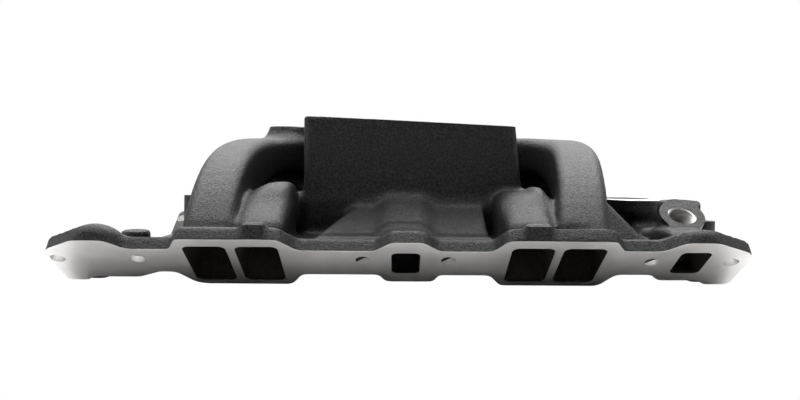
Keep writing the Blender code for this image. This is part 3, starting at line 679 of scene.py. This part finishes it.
# Machined planes: a point on each, its outward normal, and half the size of the cutter. The thermostat
# face's cutter sits forward of the pad's middle, clear of the front runners.
def machined_planes():
    tilt = Vector((PAD_FALL, 0, 1)).normalized()
    return {
        "right_head_face": (bank_point(-1, 0, 0), -bank_inward(-1), 300, ["head_flange_right"]),
        "left_head_face": (bank_point(1, 0, 0), -bank_inward(1), 300, ["head_flange_left"]),
        "carburettor_face": (Vector((0, 0, PAD_TOP_Z)), tilt, 96, ["carburettor_pad"]),
        "thermostat_face": (Vector((THERMOSTAT_X + 10, 0, THERMOSTAT_TOP_Z)), Vector((0, 0, 1)), 56.5,
                            ["thermostat_pad"]),
        "distributor_face": (Vector((DISTRIBUTOR_X, 0, DISTRIBUTOR_TOP_Z)), Vector((0, 0, 1)), 28,
                             ["distributor_boss"]),
    }


def cut_passages(casting, paths):
    for stations in paths.values():
        boolean(casting, passage_cutter(stations, 5, 8), "DIFFERENCE", RAW)
    for side in (-1, 1):
        boolean(casting, passage_cutter(water_stations(side), 4, 8), "DIFFERENCE", RAW)
        boolean(casting, passage_cutter(heat_stations(side), 4, 8), "DIFFERENCE", RAW)
    tube_low, tube_high = WATER_TUBE_Z
    tube = block_mesh((WATER_PORT_X - 10.5, -72, tube_low + 3.2), (WATER_PORT_X + 10.5, 72, tube_high - 3.2))
    boolean(casting, tube, "DIFFERENCE", RAW)
    boolean(casting, block_mesh((HEAT_PORT_X - 10, -72, 10.5), (HEAT_PORT_X + 10, 72, 29.7)),
            "DIFFERENCE", RAW)
    # The right half of the plenum is a deep well, the left half a shallow one over the lower plane.
    inside_x, inside_y = PLENUM_HALF_X - 6, PLENUM_HALF_Y - 6
    boolean(casting, block_mesh((-inside_x, -inside_y, 38.7), (inside_x, -3, 108)), "DIFFERENCE", RAW)
    boolean(casting, block_mesh((-inside_x, 3, 71), (inside_x, inside_y, 108)), "DIFFERENCE", RAW)
    low_x, high_x = LOWER_PLENUM_X
    boolean(casting, block_mesh((low_x + 5, -2.5, 38.7), (high_x - 5, PLENUM_HALF_Y - 5, 62)),
            "DIFFERENCE", RAW)


def block_mesh(low, high):
    (x0, y0, _), (x1, y1, _) = low, high
    rings = [[(x, y, z) for x, y in ((x0, y0), (x1, y0), (x1, y1), (x0, y1))] for z in (low[2], high[2])]
    return gridded(loft_mesh(rings), 12)


def hole_drums():
    """Every drilled or bored hole: its two ends and radius."""
    holes = []
    for side in (-1, 1):
        for x in BOLT_X:
            inner = bank_point(side, x, 0, FLANGE_THICKNESS + 8)
            holes.append((bank_point(side, x, 0, -8), inner, BOLT_RADIUS))
    for sx in (-1, 1):
        for sy in (-1, 1):
            x, y = sx * BORE_CENTRES[0], sy * BORE_CENTRES[1]
            holes.append(((x, y, 106), (x, y, 134), THROTTLE_BORE))
            x, y = sx * STUD_CENTRES[0], sy * STUD_CENTRES[1]
            holes.append(((x, y, 104), (x, y, 134), 3.4))
    for sy in (-1, 1):
        y = sy * THERMOSTAT_EAR_Y
        holes.append(((THERMOSTAT_X, y, 42), (THERMOSTAT_X, y, 70), 4))
    holes += [
        ((THERMOSTAT_X, 0, 30), (THERMOSTAT_X, 0, 54), 17),
        ((THERMOSTAT_X, 0, 50), (THERMOSTAT_X, 0, 70), 24),
        ((DISTRIBUTOR_X, 0, -4), (DISTRIBUTOR_X, 0, 34), 17),
        (HEATER_MOUTH - HEATER_AIM * 17, HEATER_MOUTH + HEATER_AIM * 8, HEATER_BORE),
        (HEATER_MOUTH - HEATER_AIM * 30, HEATER_MOUTH - HEATER_AIM * 16, 7.5),
        (VACUUM_BOSS - Vector((0, 0, 12)), VACUUM_BOSS + Vector((0, 0, 6)), 7),
        ((-221, -60, 20), (-221, -60, 44), 4),
        ((-219, 96, 40), (-219, 96, 66), 4),
        ((236.6, -63, 30), (236.6, -63, 54), 4),
    ]
    return holes


def flat_cuts():
    """The unmachined tops and the rails' undersides: point, outward normal and half size."""
    return [
        ((-219, 96, 58), (0, 0, 1), 12), ((236.6, -63, 46), (0, 0, 1), 11),
        (HEATER_MOUTH, HEATER_AIM, 18), (VACUUM_BOSS, (0, 0, 1), 27),
        ((-238.7, 0, RAIL_UNDERSIDE_Z), (0, 0, -1), 107), ((222, 0, RAIL_UNDERSIDE_Z), (0, 0, -1), 107),
    ]


def machine(casting, paths):
    """Cuts the casting to size and returns the machined faces as thin plates of their own."""
    for origin, normal, size in flat_cuts():
        boolean(casting, slab_cutter(origin, normal, 7, 0, size), "DIFFERENCE")
    planes = machined_planes()
    for origin, normal, size, _ in planes.values():
        boolean(casting, slab_cutter(origin, normal, 12, 0, size), "DIFFERENCE")
    cut_passages(casting, paths)
    for start, end, radius in hole_drums():
        boolean(casting, drum(start, end, radius), "DIFFERENCE", METAL)
    plates = []
    for name, (origin, normal, size, nodes) in planes.items():
        plate = new_object(name, casting.data.copy())
        boolean(plate, slab_cutter(origin, normal, 2, -COAT_SETBACK, size), "INTERSECT")
        boolean(casting, slab_cutter(origin, normal, 2, -COAT_SETBACK, size), "DIFFERENCE")
        plates.append((plate, nodes))
    return plates


# --- materials ----------------------------------------------------------------------------------

def node_material(name):
    material = bpy.data.materials.new(name)
    material.use_nodes = True
    nodes, links = material.node_tree.nodes, material.node_tree.links
    shader = nodes["Principled BSDF"]
    place = nodes.new("ShaderNodeTexCoord").outputs["Object"]
    return material, nodes, links, shader, place


def noise(nodes, links, place, scale, detail=2.0, roughness=0.5):
    texture = nodes.new("ShaderNodeTexNoise")
    texture.inputs["Scale"].default_value = scale
    texture.inputs["Detail"].default_value = detail
    texture.inputs["Roughness"].default_value = roughness
    links.new(place, texture.inputs["Vector"])
    return texture.outputs["Fac"]


def ramp(nodes, links, value, stops):
    """A colour ramp: stops are (position, colour)."""
    node = nodes.new("ShaderNodeValToRGB")
    elements = node.color_ramp.elements
    while len(elements) < len(stops):
        elements.new(0.5)
    for element, (position, colour) in zip(elements, stops):
        element.position = position
        element.color = colour
    links.new(value, node.inputs["Fac"])
    return node.outputs["Color"]


def bump(nodes, links, height, distance, strength=1.0, normal=None):
    node = nodes.new("ShaderNodeBump")
    node.inputs["Distance"].default_value = distance
    node.inputs["Strength"].default_value = strength
    links.new(height, node.inputs["Height"])
    if normal is not None:
        links.new(normal, node.inputs["Normal"])
    return node.outputs["Normal"]


def grey(value, tint=0.0):
    return (value, value, value * (1 + tint), 1)


def black_coat():
    """Textured black powder coat: fine even grain over the sand-cast surface."""
    material, nodes, links, shader, place = node_material("black_coat")
    grain = noise(nodes, links, place, 900, 3, 0.6)
    sand = noise(nodes, links, place, 260, 4, 0.6)
    speckle = noise(nodes, links, place, 700, 4, 0.7)
    links.new(ramp(nodes, links, speckle, [(0.35, grey(0.002, 0.08)), (0.65, grey(0.007, 0.1))]),
              shader.inputs["Base Color"])
    links.new(ramp(nodes, links, grain, [(0.3, grey(0.36)), (0.7, grey(0.52))]), shader.inputs["Roughness"])
    links.new(ramp(nodes, links, speckle, [(0.35, grey(0.17)), (0.65, grey(0.46))]),
              shader.inputs["Specular IOR Level"])
    rough = bump(nodes, links, sand, 0.0005, 0.5)
    links.new(bump(nodes, links, grain, 0.0006, 1.0, rough), shader.inputs["Normal"])
    return material


def machined_metal():
    """Bare aluminium with the faint arcs of a face mill."""
    material, nodes, links, shader, place = node_material("machined_aluminium")
    stretch = nodes.new("ShaderNodeMapping")
    stretch.inputs["Scale"].default_value = (40, 1600, 1600)
    links.new(place, stretch.inputs["Vector"])
    marks = noise(nodes, links, stretch.outputs["Vector"], 1.0, 3)
    cloud = noise(nodes, links, place, 60, 3)
    links.new(ramp(nodes, links, cloud, [(0.3, (0.57, 0.56, 0.55, 1)), (0.7, (0.65, 0.64, 0.63, 1))]),
              shader.inputs["Base Color"])
    links.new(ramp(nodes, links, marks, [(0.3, grey(0.38)), (0.7, grey(0.5))]), shader.inputs["Roughness"])
    links.new(bump(nodes, links, marks, 0.00005, 0.5), shader.inputs["Normal"])
    shader.inputs["Metallic"].default_value = 0.85
    return material


def raw_casting_painted_shade():
    """Uncoated sand-cast walls inside the passages, their colour darkened far below bare aluminium as painted
    shade for the deep ports.
    """
    material, nodes, links, shader, place = node_material("raw_casting_painted_shade")
    sand = noise(nodes, links, place, 420, 4, 0.65)
    # Painted shade: this dark base colour and the low specular level stand in for the shade deep inside the
    # passages.
    links.new(ramp(nodes, links, sand, [(0.35, (0.020, 0.018, 0.016, 1)), (0.7, (0.036, 0.032, 0.029, 1))]),
              shader.inputs["Base Color"])
    links.new(ramp(nodes, links, sand, [(0.3, grey(0.6)), (0.7, grey(0.8))]), shader.inputs["Roughness"])
    links.new(bump(nodes, links, sand, 0.0004, 0.35), shader.inputs["Normal"])
    shader.inputs["Specular IOR Level"].default_value = 0.08
    return material


# --- shading ------------------------------------------------------------------------------------

def shade(obj, angle=32):
    mesh = obj.data
    mesh.shade_smooth()
    mesh.set_sharp_from_angle(angle=math.radians(angle))


# --- threads ------------------------------------------------------------------------------------

def thread_mesh(start, axis, radius, length_mm, pitch, depth):
    """An internal thread: a ridge wound round inside a bore."""
    axis = Vector(axis).normalized()
    across = axis.orthogonal().normalized()
    up = axis.cross(across)
    profile = [(radius + 0.2, -0.5), (radius - depth, -0.08), (radius - depth, 0.08), (radius + 0.2, 0.5)]
    steps = 40
    count = int(length_mm / pitch * steps)
    bm = bmesh.new()
    rings = []
    for k in range(count):
        angle = 2 * math.pi * k / steps
        out = across * math.cos(angle) + up * math.sin(angle)
        base = Vector(start) + axis * (pitch * k / steps)
        rings.append([bm.verts.new((base + out * r + axis * (h * pitch)) * MM) for r, h in profile])
    for a, b in zip(rings, rings[1:]):
        for k in range(4):
            bm.faces.new((a[k], a[(k + 1) % 4], b[(k + 1) % 4], b[k]))
    bm.faces.new(rings[0])
    bm.faces.new(rings[-1])
    bmesh.ops.recalc_face_normals(bm, faces=bm.faces)
    mesh = bpy.data.meshes.new("thread")
    bm.to_mesh(mesh)
    bm.free()
    return mesh


# --- build --------------------------------------------------------------------------------------

SURFACES = black_coat(), machined_metal(), raw_casting_painted_shade()


def build_manifold():
    paths = runner_paths()
    casting = new_object("manifold_casting", cast_manifold(paths))
    for material in SURFACES:
        casting.data.materials.append(material)
    plates = machine(casting, paths)
    shade(casting)
    covered = {node for _, nodes in plates for node in nodes}
    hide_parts(*[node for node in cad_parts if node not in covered])
    for plate, nodes in plates:
        plate.data.materials.clear()
        plate.data.materials.append(SURFACES[METAL])
        plate.data.polygons.foreach_set("material_index", np.zeros(len(plate.data.polygons), dtype=np.int32))
        shade(plate)
        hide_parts(*nodes)
        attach(plate, "root")
    thread = new_object("heater_outlet_thread", thread_mesh(
        HEATER_MOUTH - HEATER_AIM * 17, HEATER_AIM, HEATER_BORE, 15.5, 1.8, 0.9))
    thread.data.materials.append(SURFACES[METAL])
    shade(thread, 25)
    for piece in (casting, thread):
        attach(piece, "root")


# --- floor, lights and camera -------------------------------------------------------------------

def shown_white(nodes, links, lit, shown, output):
    """The backdrop shows as plain white while its own light on the casting stays soft."""
    rays = nodes.new("ShaderNodeLightPath")
    mix = nodes.new("ShaderNodeMixShader")
    links.new(rays.outputs["Is Camera Ray"], mix.inputs["Fac"])
    links.new(lit, mix.inputs[1])
    links.new(shown, mix.inputs[2])
    links.new(mix.outputs[0], output.inputs["Surface"])


def build_floor():
    bm = bmesh.new()
    bmesh.ops.create_grid(bm, x_segments=1, y_segments=1, size=6)
    mesh = bpy.data.meshes.new("floor")
    bm.to_mesh(mesh)
    bm.free()
    floor = new_object("floor", mesh)
    floor.location.z = -0.0006
    material = bpy.data.materials.new("pale_floor")
    material.use_nodes = True
    nodes, links = material.node_tree.nodes, material.node_tree.links
    shader = nodes["Principled BSDF"]
    place = nodes.new("ShaderNodeTexCoord").outputs["Object"]
    # Painted pool of light: the floor's colour is pale near the casting and fades to dark further out,
    # standing in for light falling off; only the casting's reflections and bounce light see it, while camera
    # rays see plain white.
    away = nodes.new("ShaderNodeVectorMath")
    away.operation = "LENGTH"
    links.new(place, away.inputs[0])
    links.new(ramp(nodes, links, away.outputs["Value"], [(0.4, grey(0.8)), (0.9, grey(0.1))]),
              shader.inputs["Base Color"])
    shader.inputs["Roughness"].default_value = 0.9
    shader.inputs["Specular IOR Level"].default_value = 0.1
    white = nodes.new("ShaderNodeEmission")
    shown_white(nodes, links, shader.outputs[0], white.outputs[0], nodes["Material Output"])
    floor.data.materials.append(material)


def area_light(name, place, aim, size, power):
    light = bpy.data.lights.new(name, "AREA")
    light.shape = "RECTANGLE"
    light.size, light.size_y = size
    light.energy = power
    obj = bpy.data.objects.new(name, light)
    bpy.context.collection.objects.link(obj)
    obj.location = place
    obj.rotation_euler = (Vector(aim) - Vector(place)).to_track_quat("-Z", "Y").to_euler()
    obj.visible_camera = False


def build_lights():
    world = bpy.data.worlds.new("studio")
    world.use_nodes = True
    nodes, links = world.node_tree.nodes, world.node_tree.links
    shown = nodes["Background"]
    shown.inputs["Color"].default_value = (1, 1, 1, 1)
    shown.inputs["Strength"].default_value = 1.0
    fill = nodes.new("ShaderNodeBackground")
    fill.inputs["Color"].default_value = (0.9, 0.95, 1, 1)
    fill.inputs["Strength"].default_value = 0.03
    shown_white(nodes, links, fill.outputs[0], shown.outputs[0], nodes["World Output"])
    bpy.context.scene.world = world
    area_light("overhead_soft", (0, 0.36, 1.2), (0, 0.05, 0.05), (2.0, 1.6), 60)
    area_light("front_top_soft", (0, -0.75, 1.1), (0, -0.15, 0.05), (1.6, 0.5), 6)
    area_light("back_soft", (0, 2.0, 0.8), (0, 0, 0.08), (4.0, 1.6), 24)
    area_light("left_soft", (-1.2, -0.15, 0.5), (-0.1, 0, 0.06), (0.7, 0.7), 6)
    area_light("right_soft", (1.2, -0.15, 0.5), (0.1, 0, 0.06), (0.7, 0.7), 4)


def build_camera():
    """The camera looks along +Y, just above the carburettor pad's shadow line, tipped slightly down."""
    yaw, pitch, roll = math.radians(0.22), math.radians(2.42), math.radians(0.41)
    forward = Vector((math.sin(yaw) * math.cos(pitch), math.cos(yaw) * math.cos(pitch), -math.sin(pitch)))
    right = Vector((math.cos(yaw), -math.sin(yaw), 0))
    up = right.cross(forward)
    axis_x = right * math.cos(roll) + up * math.sin(roll)
    axis_y = up * math.cos(roll) - right * math.sin(roll)
    data = bpy.data.cameras.new("camera")
    data.lens = 31.716
    data.sensor_width = 36
    data.clip_start = 0.01
    camera = bpy.data.objects.new("camera", data)
    bpy.context.collection.objects.link(camera)
    place = Matrix((axis_x, axis_y, -forward)).transposed().to_4x4()
    place.translation = Vector((-0.0099, -0.6289, 0.085))
    camera.matrix_world = place
    bpy.context.scene.camera = camera


build_manifold()
build_floor()
build_lights()
build_camera()
bpy.context.scene.view_settings.view_transform = "Standard"
